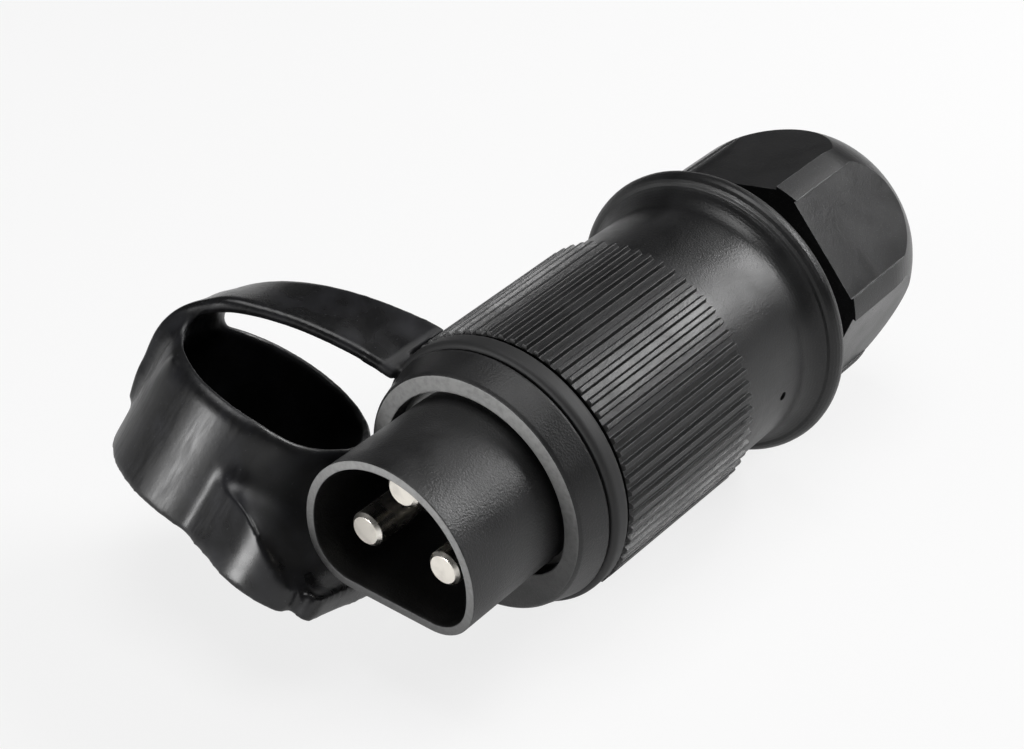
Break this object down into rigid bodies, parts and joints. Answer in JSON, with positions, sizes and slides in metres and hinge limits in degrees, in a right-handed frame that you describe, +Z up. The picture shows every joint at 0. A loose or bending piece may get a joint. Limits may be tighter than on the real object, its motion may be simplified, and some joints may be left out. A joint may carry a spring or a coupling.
{
  "type": "three-pin plug",
  "caption": "Round in-line plug with contact pins in a D-shaped shroud, a ribbed grip, a flanged cable gland and a rubber cap held by a strap.",
  "frame": {"origin": "on the plug's axis, at the front rim of the pin shroud", "axes": "+Y along the plug's axis towards the cable gland, +Z up with the shroud's flat underneath, +X to the side away from the cap"},
  "size_m": [0.0746, 0.1176, 0.0466],
  "materials": {
    "housing_plastic": "black, satin with a fine grain",
    "carrier_plastic": "black, matte with a fine grain",
    "nut_plastic": "black, half gloss",
    "cap_rubber": "black, smooth satin",
    "seal_rubber": "dark grey, matte",
    "slip_plastic": "natural white, smooth",
    "contact_metal": "nickel plated, satin",
    "screw_steel": "zinc plated"
  },
  "bodies": {
    "plug": {"housing": "housing_plastic", "contact_carrier": "carrier_plastic", "carrier_seal": "seal_rubber", "carrier_screw": "screw_steel", "contact_pin_top": "contact_metal", "contact_pin_left": "contact_metal", "contact_pin_right": "contact_metal", "terminal_screw_top": "screw_steel", "terminal_screw_left": "screw_steel", "terminal_screw_right": "screw_steel", "gland_seal": "seal_rubber", "gland_claw": "nut_plastic"},
    "slip_ring": {"gland_thrust_ring": "slip_plastic"},
    "nut": {"gland_nut": "nut_plastic"},
    "cap": {"protective_cap": "cap_rubber"}
  },
  "joints": [
    {"name": "nut_travel", "type": "slide", "parent": "plug", "child": "slip_ring", "axis": [0, -1, 0], "range_m": [-0.00301, 0.00201]},
    {"name": "nut_turn", "type": "hinge", "parent": "slip_ring", "child": "nut", "pos_m": [0, 0.095, 0], "axis": [0, -1, 0], "range_deg": [-720, 480]},
    {"name": "cap_swivel", "type": "hinge", "parent": "plug", "child": "cap", "pos_m": [0, 0.0238, 0], "axis": [0, 1, 0], "continuous": true}
  ],
  "couplings": [
    {"joint": "nut_travel", "follows": "nut_turn", "m_per_rad": 0.00023873}
  ]
}
